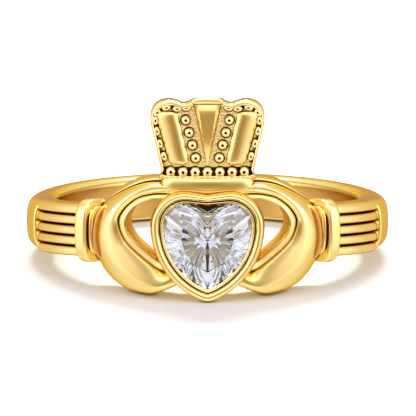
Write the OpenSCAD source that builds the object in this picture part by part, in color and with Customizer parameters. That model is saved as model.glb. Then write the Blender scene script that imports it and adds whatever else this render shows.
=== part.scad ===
// Claddagh ring: two hands hold a crowned heart, cast in yellow gold round a heart-cut stone.
// The ring is drawn with the finger along Z and its face towards -Y. It is then laid on its side,
// so that it rests on the tip of the heart, the two hands and the back edge of the band.

/* [Band] */
// Inside radius of the band
bore_r = 8.65; // [8.2:0.05:9.6]
// Width of the band, along the finger
band_w = 2.65; // [2.3:0.05:3]
// Thickness of the band at the back of the finger
band_t = 1.5; // [1.3:0.05:1.9]
// Thickness of the band where the cuffs begin
shoulder_t = 1.8; // [1.6:0.05:2]
// Height by which the shoulders climb from the band to the hands
shoulder_rise = 0.5; // [0.2:0.05:0.8]

/* [Cuffs] */
// Number of ribs on a cuff
ribs = 5; // [3:1:6]
// Width of a cuff, across its ribs
cuff_w = 2.95; // [2.7:0.05:3.4]
// Length of a cuff, along its ribs
cuff_l = 4.6; // [4:0.1:5.4]
// Thickness of a cuff, at the top of its ribs
cuff_t = 1.7; // [1.5:0.05:1.9]
// Depth of the grooves between the ribs
groove_d = 0.28; // [0.14:0.02:0.32]
// Width of the rim that closes a cuff at its back end
rim_w = 0.3; // [0.2:0.05:0.5]
// Height by which that rim stands over the band
rim_lift = 0.07; // [0.04:0.01:0.12]

/* [Collars] */
// Width of the bar between cuff and hand, along the band
collar_w = 0.85; // [0.7:0.05:1]
// Length of the bar, along the finger
collar_l = 3.6; // [3.4:0.05:4]
// Thickness of the metal at the bar
collar_t = 2.3; // [2.1:0.05:2.5]
// Width of the thin bar beside it
thin_bar_w = 0.34; // [0.24:0.02:0.4]

/* [Hands] */
// Reach of a hand, from the middle of the ring to its wrist
hand_reach = 6.32; // [6.2:0.02:6.7]
// Height of a hand, along the finger
hand_h = 6.45; // [6.3:0.05:6.9]
// Thickness of a hand at its fullest
hand_t = 2.35; // [2.1:0.05:2.6]
// Thickness of the ledge behind a hand
ledge_t = 0.7; // [0.5:0.05:0.9]
// Width by which the ledge shows past a hand's upper edge, and is tucked under its lower one
ledge_w = 0.13; // [0.05:0.01:0.2]
// Amount by which the opening in a hand narrows towards the finger
opening_taper = 0.4; // [0.1:0.05:0.5]

/* [Heart] */
// Width of the stone
stone_w = 4.94; // [4.7:0.02:5.2]
// Height of the stone, from its lobes to its point
stone_h = 4.85; // [4.6:0.05:5.1]
// Height from the stone's lobes down to its cleft
cleft_d = 0.5; // [0.3:0.05:0.7]
// Depth of the stone, from its table to its culet
stone_d = 2.85; // [2.5:0.05:3]
// Height of the stone's lobes over the middle of the hands
stone_top = 2.2; // [2:0.05:2.4]
// Width of the bezel, from the stone out
bezel_w = 0.63; // [0.5:0.01:0.75]
// Height of the bezel's rim over the lip
rim_h = 0.12; // [0.08:0.01:0.2]
// Clearance between the culet and the finger
culet_gap = 0.2; // [0.1:0.05:0.3]
// Clearance all round the stone in its seat
seat_gap = 0.05; // [0.03:0.01:0.08]
// Reach of the lip that holds the stone, from the wall of the seat
lip_over = 0.1; // [0.09:0.01:0.14]
// Thickness of the lip
lip_t = 0.06; // [0.04:0.01:0.1]

/* [Crown] */
// Width of the crown at its widest
crown_w = 6.26; // [5.8:0.02:6.6]
// Height of the crown, from the bar to its top
crown_h = 4.35; // [4:0.05:4.8]
// Thickness of the metal in the crown's field
crown_t = 0.8; // [0.6:0.05:1]
// Height of the crown's back over the finger
crown_gap = 0.6; // [0.4:0.05:0.8]
// Height of the border, the panels and the wedge over the field
relief = 0.36; // [0.2:0.02:0.5]
// Diameter of the round beads
bead_d = 0.5; // [0.42:0.01:0.54]
// Number of beads in the bottom row
row_beads = 7; // [5:1:7]
// Number of beads in a column beside the wedge
column_beads = 4; // [3:1:4]
// Number of small beads along each half of the border
border_beads = 8; // [6:1:9]
// Diameter of those small beads
small_bead_d = 0.38; // [0.3:0.01:0.42]
// Width of the border at the crown's sides
border_w = 0.2; // [0.14:0.01:0.26]
// Width of the bar under the crown
bar_w = 5.05; // [4.8:0.05:5.4]
// Height of the bar, along the finger
bar_h = 0.78; // [0.7:0.02:0.85]
// Thickness of the metal at the bar
bar_t = 1.95; // [1.8:0.05:2.1]

/* [Hidden] */
gold = "#e8b84a";
clear_stone = "#eef2f5";

// Width of the bezel at the heart's tip, lobes and cleft, over its width at the sides
at_tip = 1.12;
at_lobes = 0.93;
at_cleft = 0.83;

// Heights along the finger, from the middle of the band
hand_drop = 0.08;
hand_mid = shoulder_rise - hand_drop;
hand_low = hand_mid - hand_h / 2;
lobes_z = hand_mid + stone_top;
tip_z = lobes_z - stone_h;
bezel_tip = tip_z - at_tip * bezel_w;
bar_z = lobes_z + bezel_w;
crown_z = bar_z + bar_h;

// Radii from the finger's axis. Each form starts inside the finger hole, which is cut last.
bury = 0.35;
inside_r = bore_r - bury;
ledge_r = bore_r + ledge_t;
culet_r = bore_r + culet_gap;
stone_crown = 0.25 * stone_d;
girdle_h = 0.04 * stone_d;
table_r = culet_r + stone_d;
girdle_r = table_r - stone_crown;
lip_low = girdle_r + seat_gap + lip_over;
lip_top = lip_low + lip_t;
bezel_r = lip_top + rim_h;
rim_round = 0.42;
back_r = bore_r + crown_gap;
field_r = back_r + crown_t;
bar_r = bore_r + bar_t;
collar_r = bore_r + collar_t;

// Angles round the finger, from the face of the ring. Hand, thin bar and collar follow each other.
// The band starts inside the cuff's rim.
function angle_at(x, r) = asin(x / r);
function turn_of(length, r) = length / r * 180 / PI;
thin_bar_a = angle_at(hand_reach + 0.8 * thin_bar_w, collar_r - thin_bar_w);
collar_a = angle_at(hand_reach + 0.9 * thin_bar_w + collar_w / 2, collar_r);
cuff_a = collar_a + turn_of(cuff_l + collar_w, bore_r + cuff_t);
band_start = cuff_a - turn_of(rim_w / 4, bore_r + cuff_t);

// The ring lies on three kinds of spot: the back edge of the band, the tip of the heart and the
// lowest spot of each hand. The lean puts the lower one of the last two on the ground. A hand's
// lower edge stands up from the ledge by a share of the hand's thickness before it rounds over.
edge_share = 0.42;
back_touch = bore_r + edge_share * band_t;
hand_wall = 0.3;
hand_foot = [0.53 * hand_reach, ledge_r + 0.8 * hand_wall * (hand_t - ledge_t)];
tip_lean = atan((-band_w / 2 - bezel_tip) / (back_touch + bezel_r - rim_round));
hand_lean = atan((-band_w / 2 - hand_low) / (back_touch + sqrt(pow(hand_foot[1], 2) - pow(hand_foot[0], 2))));
lean = max(tip_lean, hand_lean);
lift = back_touch * sin(lean) + band_w / 2 * cos(lean);
to_middle = (table_r - bore_r - band_t) / 2 * cos(lean);

// A smooth curve through the rows of a table, for u from 0 at the first to 1 at the last
function row(table, i) = table[max(0, min(len(table) - 1, i))];
function blend(a, b, c, d, t) =
    0.5 * (2 * b + (c - a) * t + (2 * a - 5 * b + 4 * c - d) * t * t + (3 * b - a - 3 * c + d) * t * t * t);
function smooth(table, u) =
    let (s = u * (len(table) - 1), i = min(floor(s), len(table) - 2))
    blend(row(table, i - 1), row(table, i), row(table, i + 1), row(table, i + 2), s - i);
function steps(n) = [for (i = [0:n]) i / n];
function mix(a, b, t) = a + (b - a) * t;

// The point at an angle from the face, a radius and a height along the finger
function around(a, r, z) = [r * sin(a), -r * cos(a), z];
// The point at a distance to the side, on the round of a given radius
function over(x, r, z) = [x, -sqrt(r * r - x * x), z];

// A closed skin over rings that have equal numbers of points, with a flat cap at each end
module skin(rings) {
    n = len(rings[0]);
    last = len(rings) - 1;
    walls = [for (i = [0:last - 1], j = [0:n - 1]) let (k = (j + 1) % n)
        each [[i * n + j, i * n + k, i * n + n + k], [i * n + j, i * n + n + k, i * n + n + j]]];
    caps = [[for (j = [n - 1:-1:0]) j], [for (j = [0:n - 1]) last * n + j]];
    polyhedron([for (r = rings) each r], concat(walls, caps), 4);
}

module both_sides() {
    children();
    mirror([1, 0, 0]) children();
}

// Section of the band. Columns: height as a share of its thickness, width as a share of half of it
BAND_SECTION = [
    [0.10, 0.86], [0.26, 0.98], [edge_share, 1.00], [0.62, 0.94],
    [0.80, 0.76], [0.94, 0.44], [1.00, 0.00],
];
// The band's course. Columns: share of the way round to the back, rise, thickness over the back's
BAND_COURSE = [
    [0.00, 0.36, 0.92], [0.07, 0.20, 0.78], [0.16, 0.04, 0.50], [0.40, 0.00, 0.34],
    [0.70, 0.00, 0.12], [1.00, 0.00, 0.00],
];
function band_ring(a, width, thick, mid) =
    let (half = concat([[inside_r, 0.56 * width / 2]],
                       [for (s = BAND_SECTION) [bore_r + s[0] * thick, s[1] * width / 2]]),
         m = len(half) - 1)
    concat(
        [for (p = half) around(a, p[0], mid - p[1])],
        [for (i = [m - 1:-1:0]) around(a, half[i][0], mid + half[i][1])]);

function course(a) =
    let (u = (a - cuff_a) / (180 - cuff_a), k = [for (c = BAND_COURSE) if (c[0] <= u) 1],
         i = min(len(k) - 1, len(BAND_COURSE) - 2), p = BAND_COURSE[i], q = BAND_COURSE[i + 1])
    mix(p, q, (u - p[0]) / (q[0] - p[0]));
function shoulder_mid(a) = shoulder_rise * mix(1.1, 0.36, (a - collar_a) / (cuff_a - collar_a));

module band() {
    half = [for (u = steps(16)) let (a = mix(band_start, 180, u), c = course(max(a, cuff_a)))
        [a, mix(band_t, shoulder_t, c[2]), shoulder_rise * c[1]]];
    n = len(half) - 1;
    skin(concat(
        [for (h = half) band_ring(h[0], band_w, h[1], h[2])],
        [for (i = [n - 1:-1:0]) band_ring(360 - half[i][0], band_w, half[i][1], half[i][2])]));
}

// A bar across the band, rounded like half a rod
ROD_ROUND = [-1, -0.8, -0.35, 0.35, 0.8, 1];
module cross_bar(a, width, length, thick) {
    skin([for (t = ROD_ROUND) let (drop = width / 2 * (1 - sqrt(1 - t * t)))
        band_ring(a + turn_of(t * width / 2, bore_r + thick), length - 2 * drop, thick - drop,
                  shoulder_mid(a))]);
}

// The ribs of a cuff lie side by side across it, each a low dome between two grooves. Its last
// section is smaller and hides in the rim.
// Sides, columns: height over the finger as a share of the thickness, width as a share
CUFF_SIDE = [[-0.30, 0.56], [0.12, 0.93], [0.50, 1.00]];
RIB_ROUND = [0.1, 0.33, 0.67, 0.9];
rib_run = 0.95;
hidden_share = 0.78;
module cuff() {
    pitch = 0.97 * cuff_w / ribs;
    dome = [for (i = [0:ribs - 1], t = RIB_ROUND)
        [1 - groove_d / cuff_t * pow(abs(2 * t - 1), 3), (i + t - ribs / 2) * pitch / cuff_w * 2]];
    side = [for (c = CUFF_SIDE) [c[0], -c[1]]];
    section = concat(side, dome, [for (i = [2:-1:0]) [side[i][0], -side[i][1]]]);
    skin([for (u = concat(steps(6) * rib_run, [1]))
        let (a = mix(collar_a, cuff_a, u), size = u == 1 ? hidden_share : 1)
        [for (p = section)
            around(a, bore_r + p[0] * cuff_t * size, shoulder_mid(a) + p[1] * cuff_w / 2 * size)]]);
}

// The wrist between collar and hand, waisted. Columns: share of the way from the hand to the
// collar, width as a share of the collar's length, thickness as a share of the collar's
WRIST = [[0.00, 0.96, 0.86], [0.30, 0.92, 0.80], [0.50, 0.84, 0.72], [1.00, 0.84, 0.70]];
wrist_into_hand = 6;
module wrist() {
    skin([for (w = WRIST)
        band_ring(mix(thin_bar_a - wrist_into_hand, collar_a, w[0]), collar_l * w[1], collar_t * w[2],
                  shoulder_mid(collar_a))]);
}

module shoulder() {
    cuff();
    wrist();
    cross_bar(cuff_a, rim_w, band_w + 2 * rim_lift, shoulder_t + rim_lift);
    cross_bar(collar_a, collar_w, collar_l, collar_t);
    cross_bar(thin_bar_a, thin_bar_w, collar_l - collar_w, collar_t - thin_bar_w);
}

// A hand's course, from under the crown round to the foot of the heart. Distances to the side are
// shares of the reach, heights are shares of half the hand's height, from its middle.
// Columns, the side and the height of each line: outer edge, crease, lip, edge of the opening. The
// last column is the fullness, as a share of the thickness.
HAND = [
    [0.26, 0.98, 0.26, 0.81, 0.26, 0.78, 0.26, 0.72, 0.80],
    [0.42, 1.00, 0.42, 0.81, 0.42, 0.78, 0.42, 0.71, 0.82],
    [0.54, 0.97, 0.51, 0.79, 0.50, 0.77, 0.50, 0.70, 0.86],
    [0.66, 0.88, 0.60, 0.74, 0.59, 0.73, 0.57, 0.66, 0.90],
    [0.78, 0.74, 0.68, 0.63, 0.66, 0.63, 0.64, 0.58, 0.94],
    [0.88, 0.56, 0.74, 0.50, 0.72, 0.50, 0.69, 0.47, 0.97],
    [0.96, 0.32, 0.78, 0.34, 0.75, 0.35, 0.72, 0.34, 1.00],
    [1.00, 0.02, 0.77, 0.16, 0.74, 0.18, 0.71, 0.18, 1.00],
    [0.99, -0.24, 0.73, -0.01, 0.70, 0.04, 0.67, 0.05, 1.00],
    [0.95, -0.46, 0.67, -0.14, 0.65, -0.05, 0.61, -0.06, 0.99],
    [0.88, -0.63, 0.60, -0.26, 0.58, -0.15, 0.54, -0.16, 0.98],
    [0.77, -0.81, 0.51, -0.40, 0.51, -0.25, 0.47, -0.26, 0.97],
    [0.66, -0.94, 0.44, -0.50, 0.44, -0.34, 0.42, -0.32, 0.96],
    [0.53, -1.00, 0.38, -0.57, 0.37, -0.41, 0.36, -0.37, 0.94],
    [0.42, -0.94, 0.31, -0.61, 0.31, -0.46, 0.31, -0.41, 0.90],
    [0.32, -0.84, 0.28, -0.64, 0.28, -0.50, 0.28, -0.45, 0.86],
];
crease_r = bore_r + 0.66 * hand_t;
lip_r = bore_r + 0.76 * hand_t;
// A hand's section is a full round from its outer edge, 0, to the crease, 1. The lip comes next.
HAND_ROUND = [0, 0.05, 0.18, 0.36, 0.56, 0.76, 0.92, 1];
function swell(q) = pow(1 - pow(abs(2 * q - 1), 2.6), 0.62);
function hand_ring(h) =
    let (spot = function (i) [h[i] * hand_reach, hand_mid + h[i + 1] * hand_h / 2],
         edge = spot(0), crease = spot(2), lip = spot(4), gap = spot(6),
         full = bore_r + h[8] * hand_t,
         out = (edge - crease) / norm(edge - crease),
         ledge = edge + out * out[1] * ledge_w,
         wall = max(0, -out[1]) * hand_wall,
         bend = mix(crease, lip, 0.4),
         foot = gap - out * opening_taper)
    concat(
        [over(ledge[0], inside_r, ledge[1]), over(ledge[0], ledge_r, ledge[1])],
        [for (q = HAND_ROUND) let (p = mix(edge, crease, q))
            over(p[0], mix(mix(ledge_r + 0.02, crease_r, q), full, q == 0 ? wall : swell(q)), p[1])],
        [over(bend[0], lip_r - 0.04, bend[1]),
         over(lip[0], lip_r, lip[1]),
         over(gap[0], crease_r, gap[1]),
         over(foot[0], inside_r, foot[1])]);

module hand() {
    skin([for (u = steps(25)) hand_ring(smooth(HAND, 1 - u))]);
}

// Outline of a heart: a straight run up from the cleft, a round lobe, a long round side and a round
// point. It starts at the cleft and goes round by the right-hand side.
function arc(c, r, from, to, n) = [for (t = steps(n)) let (a = mix(from, to, t)) c + r * [cos(a), sin(a)]];
function bearing(v) = atan2(v[1], v[0]);
function heart_half(half, top, cleft, tip, tip_r, side_r) =
    let (lobe_x = stone_w / 4,
         lobe_r = half - lobe_x,
         lobe = [lobe_x, top - lobe_r],
         point = [0, tip + tip_r],
         gap = norm(point - lobe),
         u = (point - lobe) / gap,
         along = (pow(side_r - lobe_r, 2) - pow(side_r - tip_r, 2) + gap * gap) / 2 / gap,
         off = sqrt(pow(side_r - lobe_r, 2) - along * along),
         side = lobe + along * u - off * [-u[1], u[0]],
         to_cleft = [0, cleft] - lobe,
         first = bearing(to_cleft) - acos(min(1, lobe_r / norm(to_cleft))),
         turn = bearing(lobe - side),
         down = bearing(point - side))
    concat(
        [[0, cleft]],
        arc(lobe, lobe_r, first, turn, 8),
        arc(side, side_r, turn, down, 6),
        arc(point, tip_r, down, -90, 3));
function distinct(list) =
    [for (i = [0:len(list) - 1]) if (i == 0 || norm(list[i] - list[i - 1]) > 0.001) list[i]];
function whole(half) =
    let (h = distinct(half), n = len(h) - 1)
    concat(h, [for (i = [n - 1:-1:1]) [-h[i][0], h[i][1]]]);

// Heart outlines that lie a given width outside the stone. The metal heart has the shallow cleft.
tip_round = 0.22;
side_round = 6.5;
metal_cleft_d = 0.1;
function stone_heart(out) =
    whole(heart_half(stone_w / 2 + out, lobes_z + out, lobes_z - cleft_d + out, tip_z - out,
                     tip_round + out, side_round + out));
function metal_heart(out) =
    whole(heart_half(stone_w / 2 + out, lobes_z + at_lobes * out, lobes_z - metal_cleft_d + at_cleft * out,
                     tip_z - at_tip * out, tip_round + out / 2, side_round + out));
function sheet(outline, r) = [for (p = outline) [p[0], -r, p[1]]];
heart_mid = [0, mix(tip_z, lobes_z, 0.6)];
function shrink(outline, share) = [for (p = outline) mix(heart_mid, p, share)];

// The bezel is a heart-shaped box that narrows towards the finger, with a rounded rim.
// Columns: width as a share of the bezel's, depth under the rim's top as a share of its round's
BEZEL_RIM = [[1.00, 1.00], [0.95, 0.57], [0.82, 0.19], [0.62, 0.02], [0.40, 0.08], [0.27, 0.20]];
bezel_draft = 0.3;
module bezel() {
    skin(concat(
        [sheet(metal_heart(bezel_w - bezel_draft), inside_r)],
        [for (r = BEZEL_RIM) sheet(metal_heart(r[0] * bezel_w), bezel_r - r[1] * rim_round)],
        [sheet(metal_heart(0.12 * bezel_w), lip_top)]));
}

// The room for the stone, from the finger out: a cone for its pavilion, a groove for its girdle, the
// mouth inside the lip, and a step back from the lip to the rim
pocket_step = 0.02;
module pocket() {
    snug = stone_heart(seat_gap);
    mouth = metal_heart(seat_gap - lip_over);
    skin([
        sheet(shrink(snug, 0.5), inside_r - bury),
        sheet(shrink(snug, 0.55), bore_r + culet_gap / 2),
        sheet(snug, girdle_r - girdle_h - seat_gap),
        sheet(snug, lip_low),
        sheet(mouth, lip_low + pocket_step),
        sheet(mouth, lip_top),
        sheet(metal_heart(0.09 * bezel_w), lip_top + pocket_step),
        sheet(metal_heart(0.16 * bezel_w), bezel_r + 1),
    ]);
}

// The bar under the crown, rounded at its ends and along its edges.
// Section, columns: share of half the height, drop under the bar's top, or none for its foot
BAR_SECTION = [[-1, undef], [-1, 0.17], [-0.72, 0], [0.72, 0], [1, 0.17], [1, undef]];
// Ends, columns: share of half the width, share of the height
BAR_ENDS = [
    [-1, 0.55], [-0.97, 0.85], [-0.9, 1], [-0.5, 1], [0, 1], [0.5, 1], [0.9, 1], [0.97, 0.85], [1, 0.55],
];
bar_mid = bar_z + bar_h / 2;
module bar() {
    skin([for (e = BAR_ENDS)
        [for (c = BAR_SECTION)
            over(e[0] * bar_w / 2, is_undef(c[1]) ? inside_r : bar_r - c[1] - (1 - e[1]) / 2,
                 bar_mid + c[0] * e[1] * bar_h / 2)]]);
    bar_foot();
}
// Behind the heart's cleft the bar's foot runs down to the bezel
bar_foot_w = 0.76 * bar_w;
bar_foot_r = bar_r - 0.5;
module bar_foot() {
    low = bar_z - 0.6 * bezel_w;
    skin([for (u = steps(4)) let (x = (u - 0.5) * bar_foot_w)
        [over(x, inside_r, low), over(x, bar_foot_r, low),
         over(x, bar_foot_r, bar_mid), over(x, inside_r, bar_mid)]]);
}

// Half of the crown's outline. Columns: share of half the width, share of the height
CROWN = [
    [0.00, -0.05], [0.78, -0.05], [0.81, 0.06], [0.90, 0.38], [0.99, 0.68], [0.97, 0.84], [0.86, 0.94],
    [0.68, 0.98], [0.52, 0.96], [0.42, 0.935], [0.32, 0.955], [0.22, 0.99], [0.00, 1.00],
];
mid_share = 0.4;
crown_mid = crown_z + mid_share * crown_h;
// The outline drawn in by a width at the sides, and by more than that along the top
top_border = 1.7;
function crown_half(inset) =
    let (slim = crown_w / 2 - inset, low = top_border * inset / (1 - mid_share) / crown_h)
    [for (u = steps(21)) let (p = smooth(CROWN, u))
        [max(0, p[0]) * slim, mix(crown_z + p[1] * crown_h, crown_mid, low)]];
function crown_sheet(inset, r, share = 1) =
    [for (p = whole(crown_half(inset))) over(p[0] * share, r, mix(crown_mid, p[1], share))];
// The lengths run so far at each point of a line, and the point a share of the way along it
function stride(line, i) = i + 1 < len(line) ? norm(line[i + 1] - line[i]) : 0;
function reach(line) = [for (i = 0, s = 0; i < len(line); s = s + stride(line, i), i = i + 1) s];
function place(line, share) =
    let (s = reach(line), want = share * s[len(s) - 1],
         i = len([for (v = s) if (v <= want) 1]) - 1, k = min(i, len(line) - 2))
    mix(line[k], line[k + 1], (want - s[k]) / (s[k + 1] - s[k]));

// The crown's plate, with its raised border, as rings from the middle of the field round to the
// middle of the back. The back's edge is rounded.
// Border, columns: drawn in as a share of its width, height as a share of the relief
BORDER = [[1, 0], [0.85, 0.75], [0.6, 1], [0.25, 0.9], [0, 0.5]];
back_round = 0.1;
module crown_plate() {
    skin(concat(
        [for (share = [0.05, 0.55]) crown_sheet(border_w, field_r, share)],
        [for (b = BORDER) crown_sheet(b[0] * border_w, field_r + b[1] * relief)],
        [crown_sheet(0, back_r + back_round)],
        [for (share = [1, 0.5, 0.05]) crown_sheet(back_round, back_r, share)]));
}

// A bead stands on the field, sunk into it, with its dome over the height r.
// Columns: height over r and girth, as shares of the bead's radius
BEAD_DOME = [[0.4, 0.92], [0.9, 0.45]];
bead_sink = 0.06;
bead_sides = 10;
module bead(p, d, r) {
    rings = concat([[(field_r - bead_sink - r) / d * 2, 1]], BEAD_DOME);
    skin([for (k = rings) [for (i = [bead_sides:-1:1]) let (a = i * 360 / bead_sides)
        over(p[0], r, p[1]) + d / 2 * [k[1] * cos(a), -k[0], k[1] * sin(a)]]]);
}

// Where the beads stand, as shares of half the crown's width and of its height. The border's run
// from one share of its length to another, just clear of its wall.
row_height = 0.075;
COLUMN = [[0.21, 0.25], [0.375, 0.735]];
BORDER_RUN = [0.385, 0.84];
module crown_beads() {
    for (s = steps(row_beads - 1))
        bead([(s - 0.5) * 0.81 * bar_w, crown_z + row_height * crown_h], bead_d, field_r);
    both_sides() {
        for (s = steps(column_beads - 1)) let (c = mix(COLUMN[0], COLUMN[1], s))
            bead([c[0] * crown_w / 2, crown_z + c[1] * crown_h], bead_d, field_r);
        for (s = steps(border_beads - 1))
            bead(place(crown_half(border_w + 0.55 * small_bead_d), mix(BORDER_RUN[0], BORDER_RUN[1], s)),
                 small_bead_d, field_r + relief / 2);
    }
}

// A leaning pad on the field, and its section. Both it and the wedge are sunk into the field.
// Pad, columns: share of the crown's height, inner and outer side as shares of half its width, relief
PANEL = [
    [0.19, 0.40, 0.61, 0.2], [0.21, 0.36, 0.65, 0.8], [0.28, 0.375, 0.66, 1], [0.52, 0.45, 0.74, 1],
    [0.76, 0.54, 0.815, 1], [0.83, 0.57, 0.82, 0.75], [0.855, 0.62, 0.78, 0.2],
];
// Section, columns: share of the way from the inner to the outer side, height as a share
PANEL_SECTION = [[1.05, -1], [1, 0], [0.86, 0.72], [0.5, 1], [0.14, 0.72], [0, 0], [-0.05, -1]];
sink = 0.3;
module panel() {
    skin([for (p = PANEL)
        [for (c = PANEL_SECTION)
            over(mix(p[1], p[2], c[0]) * crown_w / 2, field_r + c[1] * (c[1] < 0 ? sink : p[3] * relief),
                 crown_z + p[0] * crown_h)]]);
}

// The middle wedge and the cap over it. Columns: share of the crown's height, half width, relief
WEDGE = [
    [0.15, 0.015, 0.5], [0.42, 0.095, 0.9], [0.73, 0.185, 1.1], [0.955, 0.255, 1.2], [0.96, 0.28, 1.6],
    [1.01, 0.275, 1.5], [1.02, 0.25, 1.1],
];
// Section, columns: share of the half width, height as a share
WEDGE_SECTION = [[1, -1], [1, 0.55], [0.7, 1], [-0.7, 1], [-1, 0.55], [-1, -1]];
module wedge() {
    skin([for (w = WEDGE)
        [for (c = WEDGE_SECTION)
            over(c[0] * w[1] * crown_w / 2, field_r + c[1] * (c[1] < 0 ? sink : w[2] * relief),
                 crown_z + w[0] * crown_h)]]);
}

module crown() {
    crown_plate();
    crown_beads();
    both_sides() panel();
    wedge();
}

module lay_down() {
    translate([0, to_middle, lift]) rotate([-lean, 0, 0]) children();
}

// One casting: its forms run into each other. The resize with zeros keeps each length as it is
// and makes them one skin. The finger hole is cut last, as a true cylinder.
module ring_casting() {
    color(gold) lay_down() difference() {
        resize([0, 0, 0]) difference() {
            union() {
                band();
                both_sides() shoulder();
                both_sides() hand();
                bezel();
                bar();
                crown();
            }
            pocket();
        }
        cylinder(r = bore_r, h = 4 * hand_h, center = true, $fn = 180);
    }
}

// A heart brilliant: table, crown facets, girdle and pavilion, with as many sides as its outline
module heart_stone() {
    edge = stone_heart(0);
    n = len(edge);
    color(clear_stone) lay_down() skin([
        sheet(shrink(edge, 0.02), culet_r),
        sheet(shrink(edge, 0.58), mix(culet_r, girdle_r - girdle_h, 0.5)),
        sheet(edge, girdle_r - girdle_h),
        sheet(edge, girdle_r),
        sheet(shrink(edge, 0.6), table_r),
    ]);
}

ring_casting();
heart_stone();
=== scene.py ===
import math

import bmesh
import bpy
import numpy as np
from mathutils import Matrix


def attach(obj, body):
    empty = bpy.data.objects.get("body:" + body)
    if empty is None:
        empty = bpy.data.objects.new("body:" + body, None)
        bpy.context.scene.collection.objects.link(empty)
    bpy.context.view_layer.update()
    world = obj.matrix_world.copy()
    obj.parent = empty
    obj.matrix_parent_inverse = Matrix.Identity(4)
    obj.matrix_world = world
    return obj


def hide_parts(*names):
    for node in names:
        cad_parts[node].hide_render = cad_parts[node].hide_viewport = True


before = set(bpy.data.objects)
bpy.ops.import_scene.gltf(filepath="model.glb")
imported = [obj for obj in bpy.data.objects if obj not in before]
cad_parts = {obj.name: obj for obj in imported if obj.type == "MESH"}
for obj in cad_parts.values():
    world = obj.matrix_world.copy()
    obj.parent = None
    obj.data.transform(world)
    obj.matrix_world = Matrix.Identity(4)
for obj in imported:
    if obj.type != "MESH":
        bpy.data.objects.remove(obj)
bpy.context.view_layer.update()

# The camera stands low in front of the ring, far off, with a long lens, as for a catalogue picture.
# Its angle, distance and focal length were fitted to the ring's outline in the photograph.
CAMERA_DISTANCE = 0.300
CAMERA_ELEVATION = math.radians(13.33)
CAMERA_TARGET = (0.0, 0.0007725, 0.00274)
SENSOR_MM = 36.0
# In pixels: the picture's width, the focal length, and how far left of the middle the ring stands
PICTURE_PX, FOCAL_PX, SHIFT_PX = 416, 5217, 0.5
camera_data = bpy.data.cameras.new("product_camera")
camera_data.sensor_width = SENSOR_MM
camera_data.lens = SENSOR_MM * FOCAL_PX / PICTURE_PX
camera_data.shift_x = SHIFT_PX / PICTURE_PX
camera_data.clip_start = 0.01
camera = bpy.data.objects.new("product_camera", camera_data)
camera.location = (
    CAMERA_TARGET[0],
    CAMERA_TARGET[1] - CAMERA_DISTANCE * math.cos(CAMERA_ELEVATION),
    CAMERA_TARGET[2] + CAMERA_DISTANCE * math.sin(CAMERA_ELEVATION),
)
camera.rotation_euler = (math.pi / 2 - CAMERA_ELEVATION, 0, 0)
bpy.context.collection.objects.link(camera)
bpy.context.scene.camera = camera
bpy.context.scene.view_settings.view_transform = "Standard"


# The studio: a seamless white sheet under the ring, laid flat. It is matt card with the faintest
# mottling of its surface.
CARD_TONES = ("#ccc8c0", "#d3cfc7")
MOTTLES_PER_M = 60.0
FLOOR_HALF = 1.5


def linear(code):
    """The linear colour of an sRGB hex code: each channel by the sRGB curve."""
    channels = [int(code[i : i + 2], 16) / 255 for i in (1, 3, 5)]
    return [c / 12.92 if c <= 0.04045 else ((c + 0.055) / 1.055) ** 2.4 for c in channels] + [1.0]


def new_material(name):
    """A material with an empty node tree, and its tree."""
    material = bpy.data.materials.new(name)
    material.use_nodes = True
    material.node_tree.nodes.clear()
    return material, material.node_tree


def node(tree, kind, settings=(), **inputs):
    """Adds a node of a kind. Settings are its attributes. Inputs are values or sockets: each by the
    input's name, with _ for a space, or by i and its number."""
    made = tree.nodes.new("ShaderNode" + kind)
    for key, value in dict(settings).items():
        setattr(made, key, value)
    for key, value in inputs.items():
        by_number = key[0] == "i" and key[1:].isdigit()
        socket = made.inputs[int(key[1:]) if by_number else key.replace("_", " ")]
        if isinstance(value, bpy.types.NodeSocket):
            tree.links.new(value, socket)
        else:
            socket.default_value = value
    return made


def blend(tree, share, first, second, blend_type="MIX"):
    """A colour mixed from first, at a share of 0, to second, at 1, or blended in another way."""
    settings = {"data_type": "RGBA", "blend_type": blend_type}
    return node(tree, "Mix", settings, i0=share, i6=first, i7=second).outputs[2]


card, tree = new_material("matt_white_card")
where = node(tree, "TexCoord").outputs["Object"]
mottle = node(tree, "TexNoise", Vector=where, Scale=MOTTLES_PER_M, Detail=3.0).outputs["Fac"]
tone = blend(tree, mottle, *[linear(code) for code in CARD_TONES])
paper = node(tree, "BsdfPrincipled", Base_Color=tone, Roughness=0.9)
node(tree, "OutputMaterial", Surface=paper.outputs[0])

floor_mesh = bpy.data.meshes.new("studio_floor")
corners = np.array([(-1, -1, 0), (1, -1, 0), (1, 1, 0), (-1, 1, 0)]) * FLOOR_HALF
floor_mesh.from_pydata(corners.tolist(), [], [(0, 1, 2, 3)])
floor_mesh.materials.append(card)
floor = bpy.data.objects.new("studio_floor", floor_mesh)
bpy.context.collection.objects.link(floor)


# Soft light: a pale room, a little dimmer and warmer at the horizon in front, with a dark place
# where the camera stands and a dusky one behind. The ring's gloss sees this room and not the floor,
# so the floor's edge doesn't show in it.
# Columns: height of the way from straight down, 0, over the horizon, 0.5, to straight up, 1; colour
ROOM = [(0.0, "#fffefb"), (0.40, "#efede8"), (0.62, "#e4e3e1"), (1.0, "#f0f1f3")]
# The same, with how far the horizon in front is dimmed. It starts and is full at these cosines of
# the angle to straight in front
HORIZON = [(0.33, "#ffffff"), (0.44, "#d6c7a4"), (0.52, "#d6c7a4"), (0.62, "#ffffff")]
HORIZON_START, HORIZON_FULL = 0.2, 0.85
# Columns: nearness of the way to the camera, from the reach in degrees, 0, to straight at it, 1;
# colour
CAMERA_SPOT_REACH = 32
CAMERA_SPOT = [
    (0.0, "#ffffff"), (0.43, "#f0ebe2"), (0.74, "#ebe0cc"), (0.87, "#d9caae"), (0.95, "#cfb88e"),
    (1.0, "#c1a87a"),
]
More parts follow.
